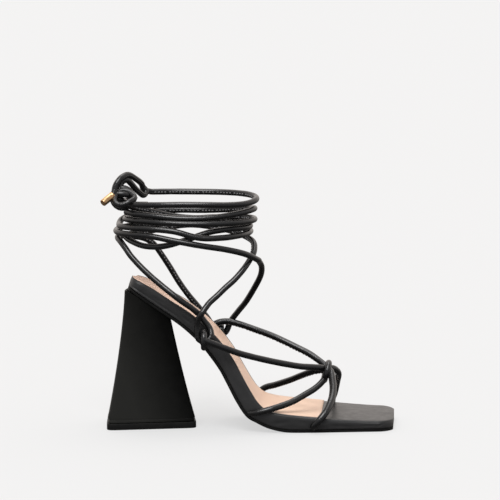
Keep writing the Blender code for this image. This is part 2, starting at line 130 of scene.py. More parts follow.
# Columns: share of the thickness, distance outwards.
OUTSOLE_PROFILE = ((0.0, -0.7), (0.05, -0.3), (0.2, 0.0), (0.8, 0.1), (0.95, 0.0), (1.0, -0.3))
LAYER_GAP = 0.3

# Sock. The shares run across it from an edge to its middle.
SOCK_THICKNESS = 0.9
SOCK_EDGE_INSET = 2.4
SOCK_EDGE_ROUND = 0.5
SOCK_EDGE_FLARE = 0.2
SOCK_FRONT_ROUND = 0.3
SOCK_FRONT_X = 130.7
SOCK_FRONT_SLANT = 0.054
SOCK_FRONT_BLEND = 40.0
SOCK_FRONT_HALF = 34.0
SOCK_SHARES = (1.0, 0.97, 0.92, 0.84, 0.72, 0.58, 0.42, 0.25, 0.08)
SOCK_UNDER_SHARES = (0.5, -0.5)

# Wrapped midsole: its roof, its rounded top edge, its sides and the rolled rim beside the sock
ROOF_SHARES = (0.9, 0.78, 0.62, 0.45, 0.28, 0.1)
UNDER_SHARES = (0.6, 0.2)
TOP_EDGE_ROUND = 1.5
TOP_EDGE_MOST = 0.4                  # share of the wrap's height
TOP_EDGE_STEPS = 5
TOP_EDGE_BULGE = 0.3
SIDE_BULGE = 0.5
SIDE_LEVELS = (
    0.0, 0.02, 0.05, 0.09, 0.13, 0.17, 0.21, 0.26, 0.32, 0.38, 0.44, 0.5, 0.56, 0.62, 0.68, 0.74)
SIDE_LEVEL_END = 0.78
LOW_EDGE_DRAW = 0.5
LOW_EDGE_SHARE = 0.06
SEAT_DISH = 0.5
TOE_CROWN = 0.35
TOE_CROWN_START_X = 118.0
TOE_CROWN_FADE = 24.0
RIM_HEIGHT = 1.3
RIM_END_X = 98.0
RIM_FADE = 24.0

# Round seat over the heel
SEAT_LIP = 0.55                      # folded edge of the wrap over the heel
SEAT_LIP_END_X = 30.0
SEAT_LIP_FADE = 8.0
SEAT_LIP_LINE = (0.09, 0.07)         # height share of its middle, half width
SEAT_GROOVE = 0.5                    # share of the lip's depth
SEAT_GROOVE_LINE = (0.25, 0.05)
SEAT_ROUND_LENGTH = 17.0
SEAT_ROUND_POWER = 2.6
SEAT_FLAT_SHARE = 0.03
SEAT_STEPS = 18
SEAT_SLANT = math.tan(math.radians(13.0))
SEAT_SLANT_SIDE = 19.0
SEAT_SLANT_END_X = 24.0
SEAT_SLANT_LENGTH = 38.0
SEAT_SLOPE = 0.65

# Square toe
TOE_OUTER_CORNER = (12.0, 13.0)      # length along the sole, depth across it
TOE_INNER_CORNER = (12.0, 20.0)
TOE_TIP_FLAT = 0.6
TOE_FINE_LENGTH = 10.0
TOE_STEPS = 16
TOE_SLANT = math.tan(math.radians(2.6))
TOE_SLANT_START_X = 100.0
TOE_SLANT_END_X = 175.0

# Steps along the sole
SOLE_STEP = 1.1
SOLE_ROW_STEPS = 60
SOLE_LEAST_HALF = 2.0

# Sections of the sole. Columns: top_x, top_z, low_x, low_z, outer, inner.
SOLE_ROWS = (
    (-16.4, 116.6, -19.0, 108.8, 25.5, 22.5),
    (-0.4, 108.5, -6.5, 100.2, 25.6, 22.6),
    (14.8, 98.5, 8.7, 89.8, 25.8, 23.2),
    (30.0, 88.8, 23.1, 79.9, 26.6, 24.6),
    (43.7, 77.0, 35.9, 68.4, 27.6, 26.6),
    (52.8, 67.2, 43.6, 59.0, 28.6, 28.0),
    (62.0, 54.5, 52.0, 47.4, 30.2, 29.6),
    (68.3, 42.8, 57.8, 36.9, 32.2, 31.6),
    (75.4, 30.2, 65.2, 22.9, 34.6, 33.6),
    (80.6, 22.8, 72.6, 12.2, 36.4, 35.0),
    (86.5, 17.9, 80.5, 7.4, 37.6, 35.8),
    (94.0, 15.4, 90.0, 3.2, 38.6, 36.6),
    (103.5, 13.8, 101.5, 0.6, 39.0, 37.5),
    (114.0, 12.6, 113.5, 0.0, 38.4, 38.0),
    (129.0, 11.2, 129.0, 0.0, 37.7, 37.5),
    (146.0, 9.8, 146.0, 0.0, 36.0, 35.6),
    (168.0, 8.6, 168.0, 0.0, 34.0, 33.0),
    (185.4, 8.3, 185.4, 0.1, 33.0, 31.4),
)

# Creases of the sole's wrap, on its sides. Columns: side (-1 outer, 1 inner), middle along the
# sole's upper line, middle height share, half length, lean (height share per mm), half width, depth.
CREASES = (
    (-1, 54.0, 0.44, 7.0, -0.006, 1.0, 0.55),
    (-1, 51.0, 0.20, 5.0, 0.010, 1.4, 0.25),
    (-1, 118.0, 0.36, 9.0, 0.012, 2.2, 0.16),
    (-1, 127.0, 0.52, 10.0, -0.010, 2.4, 0.14),
    (-1, 160.0, 0.40, 8.0, 0.030, 1.5, 0.28),
    (-1, 176.0, 0.55, 6.0, -0.020, 1.6, 0.18),
    (-1, 28.0, 0.46, 9.0, 0.008, 1.4, 0.22),
    (-1, 98.0, 0.50, 11.0, -0.008, 1.5, 0.26),
    (-1, 146.0, 0.50, 6.0, 0.050, 1.4, 0.30),
    (-1, 190.0, 0.62, 9.0, 0.020, 1.5, 0.24),
    (-1, 206.0, 0.34, 14.0, -0.004, 1.4, 0.22),
    (-1, 226.0, 0.40, 9.0, 0.006, 1.3, 0.24),
    (-1, 236.5, 0.50, 4.5, 0.080, 1.5, 0.40),
    (1, 70.0, 0.44, 6.0, -0.006, 1.2, 0.40),
    (1, 122.0, 0.46, 9.0, 0.010, 2.2, 0.16),
    (1, 184.0, 0.50, 7.0, 0.020, 1.6, 0.20),
)
CREASE_SIDE_HEIGHT = 11.0
CREASE_RIDGE = 0.35                  # share of the depth
CREASE_RIDGE_PLACE = 1.8             # half widths from the middle

# Heel. Columns: back_x, breast_x, back_half, breast_half, back_square, breast_square, side.
HEEL_BASE = (-33.3, 35.2, 26.2, 20.6, 14.0, 16.0, 0.0)
HEEL_TOP = (-19.6, 15.8, 23.4, 22.6, 7.0, 16.0, -0.8)
SEAT_LINE = ((-6.5, 100.2), (23.1, 79.9))
SEAT_GAP = 0.4
HEEL_TIP_HEIGHT = 5.0
HEEL_TIP_JOINT = 0.3
# Columns: height, inset.
HEEL_TIP_PROFILE = ((0.0, 0.5), (0.15, 0.15), (0.5, 0.0), (4.3, 0.0), (4.75, 0.2), (5.0, 0.55))
HEEL_EDGE = 0.7
HEEL_EDGE_STEPS = 3
# Fine fold above the heel's lower edge. Columns: height, inset.
HEEL_FOLD = ((7.3, 0.0), (7.65, 0.2), (8.0, 0.0))
HEEL_RING_POINTS = 128
HEEL_FLARE = 1.5
HEEL_TURN = math.tan(math.radians(4.0))
HEEL_TURN_SIDE = 22.0
HEEL_BACK_TOP_Z = 106.6
HEEL_LEVELS = 24

# Knot of the tie at the back of the ankle
TIE_KNOT_CENTRE = (-21.0, -3.6, 174.9)
TIE_KNOT_RADIUS = 7.6
TIE_KNOT_POINTS = 16
KNOT_LOWER_LOOP = (
    (-11.8, -12, 176.4), (-15.6, -16.6, 174), (-19.4, -17.6, 172.2), (-23.6, -16.8, 171.6),
    (-26.6, -14.6, 173.6), (-26, -10, 178), (-21.5, -6.5, 181), (-16, -7.5, 180.2))
KNOT_STRAND = (
    (-21, -8, 176.4), (-23.6, -5.4, 181), (-22.4, -2, 185.6), (-20.1, -1, 187.9), (-17.5, 0.5, 187.9),
    (-14.8, 2.5, 185.2), (-11.8, 5.5, 181), (-8.7, 9.5, 177.3), (-6, 13.5, 174.6),
    (-4.3, 16.4, 175.2), (-3.8, 18, 177.4), (-6.2, 17.6, 180.4))
KNOT_CORE = (
    (-28.2, -8, 178.4), (-24, -9.6, 179), (-19, -9.4, 178.4), (-14.4, -6, 176.6), (-14.6, -1, 173.4),
    (-19.6, -4.6, 172.8), (-25, -6.4, 175), (-25, -4, 171.4), (-20, -5.6, 169.8), (-14.6, -5, 171))

# Metal ends of the tie
AGLET_OUTER = ((-28.4, -11.2, 178.2), (-35.8, -17.4, 173.0))
AGLET_INNER = ((-1.6, 28.4, 164.7), (8.4, 33.2, 163.7))
AGLET_OUTER_SCALE = 1.1
AGLET_INNER_SCALE = 0.88
AGLET_SIDES = 40
AGLET_LEAST_RADIUS = 0.02
# Columns: share of the length, radius.
AGLET_PROFILE = (
    (0.0, 2.15), (0.0, 2.4), (0.03, 2.56), (0.10, 2.56), (0.13, 2.42), (0.17, 2.42), (0.20, 2.5),
    (0.94, 2.46), (0.98, 2.38), (1.0, 2.2), (1.0, 1.2), (1.0, 0.0))

# Straps of the foot, from the toe knot to the sole's edge or the arch loop
STRAPS = {
    "front_outer": (
        (134, -2, 41), (137, -6, 41.5), (138.7, -16, 33.1), (138.3, -24, 26.6),
        (136.4, -31, 21.6), (133.4, -37, 16.4), (128.8, -40.6, 11.2), (125, -40.6, 7),
        (123.2, -38.4, 4.4)),
    "front_inner": (
        (133, -1, 42), (139, 4, 42.4), (143.2, 9.4, 37.6), (142.4, 18.4, 29), (140.8, 29, 18.6),
        (139.4, 37.6, 12.8), (139, 40.2, 7.4), (138.6, 40.4, 3.4)),
    "ball_outer": (
        (134, -3, 40), (131.1, -9, 34.8), (125, -15.5, 30.2), (117.4, -22, 26.7), (109.8, -28, 23.4),
        (102.2, -34, 21.2), (91.5, -39.2, 18.7), (82, -39.4, 16.2), (75, -35.4, 14.8)),
    "ball_inner": (
        (134, -2, 41), (128.8, 2, 41.2), (121.2, 8, 38.4), (113.6, 15, 34.2), (106, 22, 29.8),
        (95.5, 31.4, 24.6), (86.6, 37.8, 20.8), (79.5, 39, 14.2), (76.4, 38.6, 10.6)),
    "long_outer": (
        (135, -3, 42), (130.3, -6, 44.4), (121.2, -11, 46), (113.6, -15, 47.2), (98.4, -22, 51.1),
        (83.2, -28.8, 55.6), (68, -34.6, 60.6), (57, -38.2, 65.2), (47.8, -40.7, 69.2),
        (40.8, -41, 72.2)),
    "long_inner": (
        (135, -1, 43), (131.9, 2, 45.8), (127.3, 6, 48.8), (121.2, 10, 52.4), (113.6, 14, 55.7),
        (102.2, 19, 60.5), (90.8, 24, 64.8), (79.4, 28, 68.3), (68, 31.5, 71.7), (57.2, 33.2, 73.7),
        (48.6, 33, 71.4), (45.2, 32.2, 64), (46.4, 32.2, 56.6)),
}
ARCH_LOOPS = {
    "loop_outer": (
        (40.8, -41, 71), (40.8, -39.5, 75), (40.8, -35.7, 76.6), (40.8, -32.1, 75), (40.8, -30.7, 71),
        (40.8, -32.1, 67), (40.8, -35.7, 65.4), (40.8, -39.5, 67)),
    "loop_inner": (
        (47.6, 31.9, 53.6), (50.4, 32.2, 57.4), (53, 32.5, 62.8), (53.2, 34.4, 67.4), (53.2, 38.6, 69.4),
        (53.2, 42.8, 67.4), (53.2, 44.7, 62.6), (52, 43, 57.4), (48.6, 36, 52.2)),
}
KNOT_CENTRE = (133.9, -2.2, 40.9)
KNOT_RING = (1.8, 7.2, 6.6)          # lean, half width, half height
KNOT_RING_POINTS = 14

# Ankle tie: turns as rows of angle, layer and height, and the free runs as routes
ANKLE_CENTRE_X = 29.0
ANKLE_HALF_LENGTH = 50.0
ANKLE_HALF_WIDTH = 28.0
TIE_LAYER = 5.1
TIE_WRAP_ANGLE_STEP = 20.0
TURNS_C = (
    (10, 0.0, 139.5), (35, 0.0, 143.4), (60, 0.0, 147.2), (90, 0.0, 149.6), (135, -0.1, 145.0),
    (180, -0.35, 145.6), (211, -0.25, 142.8), (234, 0.0, 140.4), (253, 0.0, 142.1), (264, 0.0, 145.2),
    (280, 0.0, 150.2), (294, 0.0, 153.0), (311, 0.0, 154.0), (339, -0.4, 153.4), (360, -0.7, 153.4),
    (380, -0.2, 153.0), (400, 0.9, 153.0), (420, 1.8, 152.9), (450, 2.0, 152.2), (462, 1.8, 153.4),
    (475, 0.9, 154.6), (485, 0.3, 154.8), (495, 0.0, 155.0), (520, -0.25, 157.2), (540, -0.4, 158.8),
    (590, 0.3, 159.8), (630, 0.8, 159.2), (670, 0.6, 158.8), (700, 0.2, 158.6), (720, 0.0, 158.5),
    (750, 0.0, 157.6), (780, 0.0, 156.2), (810, 0.0, 154.8), (822, 0.0, 156.2), (835, 0.0, 158.4),
    (850, 0.0, 161.6), (865, 0.0, 164.2), (900, 0.0, 172.2), (935, 0.0, 171.8), (990, 0.0, 173.4),
    (1040, 0.3, 172.3), (1080, 0.3, 174.2), (1110, 0.1, 175.4), (1170, 0.0, 175.2), (1205, 0.0, 175.8),
)
TURNS_D = (
    (-20, 1.1, 128.8), (-35, 1.1, 133.6), (-55, 1.0, 138.6), (-90, 1.0, 144.2), (-110, 1.0, 147.8),
    (-125, 1.0, 149.6), (-150, 1.0, 149.4), (-180, 1.0, 149.4), (-215, 1.0, 150.4), (-240, 1.0, 149.4),
    (-270, 1.0, 149.4), (-300, 1.0, 149.0), (-315, 0.7, 148.4), (-330, 0.3, 148.2), (-345, -0.3, 148.4),
    (-360, -0.7, 148.4), (-380, -0.6, 148.5), (-400, 0.1, 148.5), (-420, 0.8, 148.2), (-437, 1.0, 148.0),
    (-450, 1.0, 151.0), (-465, 1.0, 154.2), (-480, 1.0, 154.8), (-510, 0.8, 154.4), (-540, 0.55, 154.2),
    (-560, 0.8, 156.6), (-585, 1.0, 159.4), (-605, 1.0, 159.9), (-620, 1.0, 160.3), (-640, 0.7, 160.4),
    (-665, 0.2, 162.0), (-690, 0.0, 164.2), (-720, 0.0, 166.6), (-750, 0.0, 166.0), (-780, 0.0, 163.8),
    (-810, 0.0, 162.6), (-850, 0.0, 164.4), (-882, 0.0, 165.0),
)
RUN_C = (
    (37, -35.9, 71.4), (35.9, -35.8, 75.6), (35.9, -35.6, 82), (36.6, -36.6, 87.2), (38.7, -37.6, 91.2),
    (41.6, -35.8, 95.2), (45.2, -32.4, 99.4), (51, -29, 104.2), (57, -26, 109.6), (64, -22.4, 115.4),
    (71, -17, 122.8), (75.6, -10.6, 128.8), (78.6, -4, 134))
RUN_AB = (
    (40.8, -35.7, 70.9), (44.6, -35.5, 71.6), (46.3, -34, 75.4), (44.8, -31.8, 80.2), (41, -31, 85),
    (37.6, -30.7, 89.4), (31.6, -31.4, 94.8), (24, -32, 100.2), (16.4, -30.4, 105.8),
    (8.8, -27, 111.4), (1.2, -24, 117.4), (-6.4, -20.6, 124), (-14.2, -16.4, 131.8),
    (-18.4, -12.8, 137.2), (-22.3, -7.4, 141.7), (-25, 1, 144), (-22.8, 10, 143.8), (-16, 17.6, 142.4),
    (-6, 22.6, 140.2), (1.6, 25.4, 135.4), (7, 27, 128), (14, 29, 116.9), (21, 30.6, 105),
    (28.4, 32.4, 94.2), (36, 35, 84.6),
    (43.4, 38, 74.8), (49, 38.6, 64.8), (53.2, 38.6, 62.6))
RUN_D = (
    (57.4, 38.8, 65), (60.6, 38.8, 72.6), (66.4, 35.6, 81), (72.8, 26, 90.7), (79.4, 16, 103.4),
    (83.8, 9.4, 113.6), (84.4, 2, 121.4), (82.4, -5, 126.6))
TIE_LOOP = (
    (0.3, 22.9, 175.8), (-5.3, 20, 177.8), (-7.2, 14.6, 183.4), (-11.4, 8, 188), (-16.8, 1.6, 192),
    (-21.4, -4, 191), (-24.8, -7.4, 187.6), (-26.6, -8.8, 184), (-27.2, -9.8, 180.8),
    (-28, -10.8, 178.7))
TIE_END = (
    (-26.4, 3.2, 169.6), (-24.4, 9.7, 168.2), (-19.1, 16.5, 167), (-11.6, 22.5, 166), (-3, 27.5, 165.3))


def smooth_step(value):
    value = min(1.0, max(0.0, value))
    return value * value * (3 - 2 * value)


def spline_point(points, place):
    """Point on the Catmull-Rom curve through points, at a place counted in points."""
    last = len(points) - 1
    index = min(int(place), last - 1)
    t = place - index
    here = Vector(points[index])
    after = Vector(points[index + 1])
    before = Vector(points[index - 1]) if index > 0 else here * 2 - after
    beyond = Vector(points[index + 2]) if index + 2 <= last else after * 2 - here
    return 0.5 * (2 * here + (after - before) * t
                  + (2 * before - 5 * here + 4 * after - beyond) * t * t
                  + (3 * here - before - 3 * after + beyond) * t ** 3)


def even_points(points, step, closed=False):
    """Points at even distances along the smooth curve through the given ones."""
    route = [Vector(p) for p in points]
    if closed:
        route = route[-1:] + route + route[:2]
    first = 1 if closed else 0
    last = len(route) - 2 if closed else len(route) - 1
    count = (last - first) * CURVE_STEPS + 1
    fine = [spline_point(route, first + i / CURVE_STEPS) for i in range(count)]
    lengths = [0.0]
    for a, b in zip(fine, fine[1:]):
        lengths.append(lengths[-1] + (b - a).length)
    pieces = max(3, round(lengths[-1] / step))
    out = []
    index = 0
    for number in range(pieces + (0 if closed else 1)):
        goal = lengths[-1] * number / pieces
        while index < len(lengths) - 2 and lengths[index + 1] < goal:
            index += 1
        span = lengths[index + 1] - lengths[index]
        out.append(fine[index].lerp(fine[index + 1], (goal - lengths[index]) / span))
    return out


def turn_point(angle, layer, height):
    turn = math.radians(angle)
    out = layer * TIE_LAYER
    return Vector((ANKLE_CENTRE_X + (ANKLE_HALF_LENGTH + out) * math.cos(turn),
                   (ANKLE_HALF_WIDTH + out) * math.sin(turn), height))


def turn_points(rows):
    """Points of the turns, at even angles on the smooth curve through the rows."""
    points = []
    first = rows[0][0]
    last = rows[-1][0]
    count = round(abs(last - first) / TIE_WRAP_ANGLE_STEP)
    for step in range(count + 1):
        goal = first + (last - first) * step / count
        index = 0
        while index < len(rows) - 2 and abs(rows[index + 1][0] - first) < abs(goal - first):
            index += 1
        part = (goal - rows[index][0]) / (rows[index + 1][0] - rows[index][0])
        _, layer, height = spline_point(rows, index + part)
        points.append(turn_point(goal, layer, height))
    return points


# Pieces and meshes


def add_piece(name, mesh, finish, slot, *nodes):
    piece = bpy.data.objects.new(name, mesh)
    bpy.context.scene.collection.objects.link(piece)
    mesh.materials.append(finish)
    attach(piece, "root")
    if nodes:
        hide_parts(*nodes)
    return piece


def add_rings(work, rings, closed=False):
    """Skin the rings into the bmesh, with flat caps on open ends, and return the rows of vertices."""
    rows = [[work.verts.new(point * MM) for point in ring] for ring in rings]
    count = len(rows[0])
    pairs = list(zip(rows, rows[1:]))
    if closed:
        pairs.append((rows[-1], rows[0]))
    for low, high in pairs:
        for i in range(count):
            j = (i + 1) % count
            work.faces.new((low[i], low[j], high[j], high[i]))
    if not closed:
        work.faces.new(rows[0])
        work.faces.new(rows[-1])
    return rows


def close_mesh(name, work, sharp=CORD_SHARP):
    bmesh.ops.recalc_face_normals(work, faces=work.faces)
    mesh = bpy.data.meshes.new(name)
    work.to_mesh(mesh)
    work.free()
    mesh.shade_smooth()
    mesh.set_sharp_from_angle(angle=math.radians(sharp))
    return mesh


# Materials


def new_material(name, colour, roughness, metallic=0.0, specular=0.5):
    made = bpy.data.materials.new(name)
    made.use_nodes = True
    shader = made.node_tree.nodes["Principled BSDF"]
    shader.inputs["Base Color"].default_value = (*colour, 1.0)
    shader.inputs["Roughness"].default_value = roughness
    shader.inputs["Metallic"].default_value = metallic
    shader.inputs["Specular IOR Level"].default_value = specular
    return made


class Nodes:
    """Short ways to add and join the nodes of one material or of the world."""

    def __init__(self, made, shader="Principled BSDF"):
        self.tree = made.node_tree
        self.shader = self.tree.nodes[shader]

    def add(self, kind, **values):
        node = self.tree.nodes.new("ShaderNode" + kind)
        for name, value in values.items():
            setattr(node, name, value)
        return node

    def link(self, source, target):
        self.tree.links.new(source, target)

    def noise(self, vector, scale, detail=3.0, rough=0.5):
        node = self.add("TexNoise")
        node.inputs["Scale"].default_value = scale
        node.inputs["Detail"].default_value = detail
        node.inputs["Roughness"].default_value = rough
        self.link(vector, node.inputs["Vector"])
        return node.outputs["Fac"]

    def cells(self, vector, scale):
        node = self.add("TexVoronoi")
        node.inputs["Scale"].default_value = scale
        self.link(vector, node.inputs["Vector"])
        return node.outputs["Distance"]

    def ramp(self, value, source, target=(0.0, 1.0)):
        node = self.add("MapRange")
        for name, number in zip(("From Min", "From Max", "To Min", "To Max"), (*source, *target)):
            node.inputs[name].default_value = number
        self.link(value, node.inputs["Value"])
        return node.outputs["Result"]

    def maths(self, operation, first, second):
        node = self.add("Math", operation=operation)
        for slot, value in zip(node.inputs, (first, second)):
            if isinstance(value, (int, float)):
                slot.default_value = value
            else:
                self.link(value, slot)
        return node.outputs[0]

    def blend(self, factor, low, high):
        node = self.add("Mix", data_type="RGBA")
        node.inputs["A"].default_value = (*low, 1.0)
        node.inputs["B"].default_value = (*high, 1.0)
        self.link(factor, node.inputs["Factor"])
        return node.outputs["Result"]

    def bump(self, height, depth, strength=1.0, after=None):
        """Bump of a depth in millimetres, laid over an earlier one."""
        node = self.add("Bump")
        node.inputs["Strength"].default_value = strength
        node.inputs["Distance"].default_value = depth * MM
        self.link(height, node.inputs["Height"])
        if after is not None:
            self.link(after, node.inputs["Normal"])
        return node.outputs["Normal"]

    def place(self, kind="Object"):
        return self.add("TexCoord").outputs[kind]

    def split(self, vector):
        node = self.add("SeparateXYZ")
        self.link(vector, node.inputs["Vector"])
        return node.outputs

    def attribute(self, name):
        return self.add("Attribute", attribute_name=name).outputs["Fac"]

    def set(self, name, source):
        self.link(source, self.shader.inputs[name])


def make_leather(name, dark, light, roughness, specular, fade=None):
    """Fine-grained satin leather of the wrapped sole and heel; a fade paints shading into its colour,
    lighter towards the fade's first end.
    """
    made = new_material(name, dark, roughness[0], specular=specular)
    n = Nodes(made)
    place = n.place()
    grain = n.cells(place, scale=1500.0)
    pores = n.noise(place, scale=2600.0, detail=2.0)
    waves = n.noise(place, scale=45.0, detail=2.0)
    cloud = n.ramp(n.noise(place, scale=90.0, detail=4.0, rough=0.6), CLOUD_SPAN)
    # With a fade, the base colour carries painted shading: lit towards the fade's first end, shaded
    # further along X and higher up, under a little random cloud
    if fade:
        parts = n.split(place)
        rise = n.maths("MULTIPLY", parts["Z"], HEEL_PAINTED_SHADE_RISE)
        spread = n.ramp(n.maths("ADD", parts["X"], rise), fade, (1.0, 0.0))
        cloud = n.maths("ADD", n.maths("MULTIPLY", cloud, HEEL_CLOUD), spread)
    n.set("Base Color", n.blend(cloud, dark, light))
    n.set("Roughness", n.ramp(n.noise(place, scale=160.0, detail=4.0, rough=0.6), CLOUD_SPAN, roughness))
    first = n.bump(grain, depth=0.05, strength=0.35)
    second = n.bump(pores, depth=0.03, strength=0.3, after=first)
    n.set("Normal", n.bump(waves, depth=0.6, strength=0.25, after=second))
    return made


def make_cord_leather():
    """Rolled cord leather with fine wrinkles, deeper on bends."""
    made = new_material("black_cord_leather", CORD_DARK, CORD_ROUGHNESS[0], specular=0.8)
    n = Nodes(made)
    place = n.place()
    along = n.attribute("cord_along")
    around = n.attribute("cord_around")
    bend = n.attribute("cord_bend")
    join = n.add("CombineXYZ")
    n.link(along, join.inputs["X"])
    n.link(n.maths("MULTIPLY", around, 0.9), join.inputs["Y"])
    wrinkles = n.noise(join.outputs["Vector"], scale=0.75, detail=3.0, rough=0.55)
    cloud = n.ramp(n.noise(place, scale=120.0, detail=4.0, rough=0.6), CLOUD_SPAN)
    n.set("Base Color", n.blend(cloud, CORD_DARK, CORD_LIGHT))
    n.set("Roughness", n.ramp(n.noise(place, scale=260.0, rough=0.6), CLOUD_SPAN, CORD_ROUGHNESS))
    folds = n.maths("MULTIPLY", wrinkles, n.ramp(bend, (0.0, 1.0), (0.25, 1.0)))
    first = n.bump(n.noise(place, scale=2400.0, detail=2.0), depth=0.03, strength=0.3)
    n.set("Normal", n.bump(folds, depth=0.4, strength=0.5, after=first))
    return made


def make_thread():
    made = new_material("seam_thread", THREAD_COLOUR, 0.40, specular=0.6)
    n = Nodes(made)
    twist = n.noise(n.place(), scale=1800.0, detail=2.0)
    n.set("Roughness", n.ramp(twist, FINE_SPAN, (0.34, 0.5)))
    n.set("Normal", n.bump(twist, depth=0.08, strength=0.5))
    return made


def make_rubber():
    made = new_material("black_rubber_matte", RUBBER_DARK, 0.6, specular=0.15)
    n = Nodes(made)
    place = n.place()
    fine = n.noise(place, scale=1500.0)
    scuff = n.noise(place, scale=220.0, detail=5.0, rough=0.7)
    n.set("Base Color", n.blend(n.ramp(scuff, (0.4, 0.8)), RUBBER_DARK, RUBBER_LIGHT))
    n.set("Roughness", n.ramp(scuff, (0.3, 0.8), (0.5, 0.72)))
    n.set("Normal", n.bump(fine, depth=0.06, strength=0.5))
    return made


def make_sock_leather():
    """Tan lining leather, a little redder towards the heel, with pores and soft clouds."""
    made = new_material("tan_sock_leather", SOCK_FRONT_COLOUR, 0.55, specular=0.3)
    n = Nodes(made)
    place = n.place()
    heelward = n.ramp(n.split(place)["X"], SOCK_FADE)
    cloud = n.ramp(n.noise(place, scale=130.0, detail=4.0, rough=0.6), FINE_SPAN, (-0.12, 0.12))
    n.set("Base Color", n.blend(n.maths("ADD", heelward, cloud), SOCK_FRONT_COLOUR, SOCK_HEEL_COLOUR))
    n.set("Roughness", n.ramp(n.noise(place, scale=400.0), FINE_SPAN, (0.48, 0.62)))
    first = n.bump(n.cells(place, scale=1700.0), depth=0.04, strength=0.35)
    n.set("Normal", n.bump(n.noise(place, scale=60.0, detail=2.0), depth=0.5, strength=0.2, after=first))
    return made


def make_gold():
    made = new_material("gold_metal", GOLD_COLOUR, 0.2, metallic=1.0)
    n = Nodes(made)
    place = n.place()
    cloud = n.ramp(n.noise(place, scale=500.0), FINE_SPAN)
    n.set("Base Color", n.blend(cloud, GOLD_LIGHT, GOLD_DARK))
    n.set("Roughness", n.ramp(n.noise(place, scale=900.0, detail=4.0, rough=0.6), FINE_SPAN, (0.14, 0.26)))
    n.set("Normal", n.bump(n.noise(place, scale=1600.0, detail=2.0), depth=0.02, strength=0.3))
    return made


LEATHER = make_leather("black_leather_wrap", WRAP_DARK, WRAP_LIGHT, WRAP_ROUGHNESS, 0.45)
# The heel's leather carries painted shading in its colour: lighter at the back, darker to the front and up
HEEL_LEATHER = make_leather("black_leather_heel", HEEL_DARK, HEEL_LIGHT, HEEL_ROUGHNESS, 0.12, HEEL_PAINTED_SHADE)
CORD = make_cord_leather()
THREAD = make_thread()
RUBBER = make_rubber()
SOCK = make_sock_leather()
GOLD = make_gold()


# Cords


def cord_profile():
    """Angles and radius shares round a cord, with the seam's groove at angle zero."""
    rows = [(math.radians(angle), share) for angle, share in SEAM_PROFILE]
    seam_edge = SEAM_PROFILE[-1][0]
    gap = (360 - 2 * seam_edge) / (PLAIN_SIDES + 1)
    for i in range(1, PLAIN_SIDES + 1):
        rows.append((math.radians(seam_edge + gap * i), 1.0))
    return rows


def seam_frames(points, closed, facing):
    """Direction along the cord and towards its seam at each point."""
    count = len(points)
    frames = []
    seam = None
    for i, point in enumerate(points):
        before = points[(i - 1) % count] if closed or i > 0 else point
        after = points[(i + 1) % count] if closed or i < count - 1 else point
        along = (after - before).normalized()
        wish = facing(point)
        wish = wish - along * wish.dot(along)
        if seam is None:
            seam = wish.normalized() if wish.length > SEAM_LEAST else along.orthogonal().normalized()
        seam = (seam - along * seam.dot(along)).normalized()
        seam = seam.lerp(wish, SEAM_PULL) if wish.length > SEAM_LEAST else seam
        seam = (seam - along * seam.dot(along)).normalized()
        frames.append((along, seam))
    return frames


def bend_shares(points, closed):
    """How sharply the cord bends at each point, from 0 to 1 at a sharp bend."""
    count = len(points)
    shares = []
    for i in range(count):
        if not closed and i in (0, count - 1):
            shares.append(0.0)
            continue
        a, b, c = points[i - 1], points[i], points[(i + 1) % count]
        turn = (b - a).angle(c - b, 0.0)
        shares.append(min(1.0, turn / max(LEAST_STEP, (c - b).length) * SHARP_BEND_RADIUS))
    return shares


def add_cord(work, points, facing, closed=False, radius=CORD_RADIUS):
    """Add one cord with its seam groove, and the values that its leather reads, to the bmesh."""
    layers = [work.verts.layers.float.get(name) or work.verts.layers.float.new(name)
              for name in ("cord_along", "cord_around", "cord_bend")]
    profile = cord_profile()
    rings = []
    for point, (along, seam) in zip(points, seam_frames(points, closed, facing)):
        other = along.cross(seam)
        swell = 1.0 + CORD_SWELL * noise.noise(point * SWELL_SCALE)
        ring = []
        for angle, share in profile:
            out = seam * math.cos(angle) + other * math.sin(angle)
            ring.append(point + out * (radius * share * swell))
        rings.append(ring)
    rows = add_rings(work, rings, closed)
    travelled = 0.0
    bends = bend_shares(points, closed)
    for i, row in enumerate(rows):
        if i:
            travelled += (points[i] - points[i - 1]).length
        for vertex, (angle, _) in zip(row, profile):
            vertex[layers[0]] = travelled
            vertex[layers[1]] = math.cos(angle) * radius
            vertex[layers[2]] = bends[i]


def add_bead(work, spot, along, side, up):
    """Add one small ellipsoid from its middle and its three half axes."""
    rows = []
    for level in BEAD_LEVELS:
        wide = math.sqrt(1 - level * level)
        row = []
        for i in range(BEAD_SIDES):
            turn = 2 * math.pi * i / BEAD_SIDES
            out = side * math.cos(turn) + up * math.sin(turn)
            row.append(work.verts.new((spot + along * level + out * wide) * MM))
        rows.append(row)
    first = work.verts.new((spot - along) * MM)
    last = work.verts.new((spot + along) * MM)
    for i in range(BEAD_SIDES):
        j = (i + 1) % BEAD_SIDES
        for low, high in zip(rows, rows[1:]):
            work.faces.new((low[i], low[j], high[j], high[i]))
        work.faces.new((rows[0][j], rows[0][i], first))
        work.faces.new((rows[-1][i], rows[-1][j], last))


def add_stitches(work, points, facing, radius=CORD_RADIUS):
    """Add a row of stitch beads in the seam of a cord."""
    frames = seam_frames(points, False, facing)
    half_length, half_width, half_height = STITCH_SIZE
    due = STITCH_SPACING / 2
    travelled = 0.0
    for i in range(1, len(points)):
        travelled += (points[i] - points[i - 1]).length
        if travelled < due:
            continue
        due += STITCH_SPACING
        along, seam = frames[i]
        spot = points[i] + seam * (radius - STITCH_DEPTH)
        add_bead(work, spot, along * half_length, along.cross(seam) * half_width, seam * half_height)


def towards_ankle(point):
    """Side of the tie's seam: the ankle, or the inner side of the foot on the legs in front of it."""
    if point.x > LEG_SEAM_X and point.z < LEG_SEAM_Z:
        return Vector((0.0, 1.0, 0.0))
    return Vector((ANKLE_CENTRE_X - point.x, -point.y * SEAM_SIDE_PULL, 0.0)).normalized()


